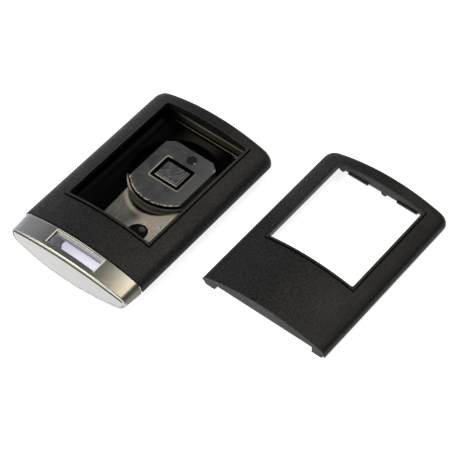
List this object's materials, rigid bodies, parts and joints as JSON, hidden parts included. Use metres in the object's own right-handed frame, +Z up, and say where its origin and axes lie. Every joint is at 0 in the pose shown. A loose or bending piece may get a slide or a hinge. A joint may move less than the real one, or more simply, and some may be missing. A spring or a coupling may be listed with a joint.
{
  "type": "remote key case",
  "caption": "Lens-shaped remote key case with a window, an inner tray with a sprung pad, a draw-out slotted metal head and a lift-off rear cover.",
  "frame": {"origin": "a point of the flat foot under the inner tray, on the centre line of the front window and just in front of the spring plate, on the table", "axes": "+X across the case towards the rear cover that lies beside it, +Y along the case away from its metal head, +Z up"},
  "size_m": [0.0947, 0.084, 0.0104],
  "materials": {
    "textured_black": "fine moulded grain, satin black",
    "tray_dark_grey": "smooth moulded, worn",
    "pad_grey": "fine hatched",
    "spring_steel": "bright strip",
    "satin_metal": "satin silver plating on a metal shell",
    "pale_plate": "pale matt silver",
    "core_grey": "satin moulded grey"
  },
  "bodies": {
    "case": {"front_frame": "textured_black", "inner_tray": "tray_dark_grey", "pad_spring": "spring_steel", "spring_plate": "tray_dark_grey", "detent_spring": "spring_steel"},
    "head": {"end_cap": "satin_metal", "end_plate": "pale_plate", "cap_core": "core_grey"},
    "pad": {"push_pad": "pad_grey"},
    "cover": {"rear_cover": "textured_black"}
  },
  "joints": [
    {"name": "head_draw", "type": "slide", "parent": "case", "child": "head", "axis": [0, -1, 0], "range_m": [0, 0.01]},
    {"name": "pad_press", "type": "slide", "parent": "case", "child": "pad", "axis": [0, 0, -1], "range_m": [0, 0.0005], "stiffness_N_per_m": 600, "springref_m": -0.0005},
    {"name": "cover_lift", "type": "slide", "parent": "case", "child": "cover", "axis": [0, 0, 1], "range_m": [0, 0.03]}
  ]
}
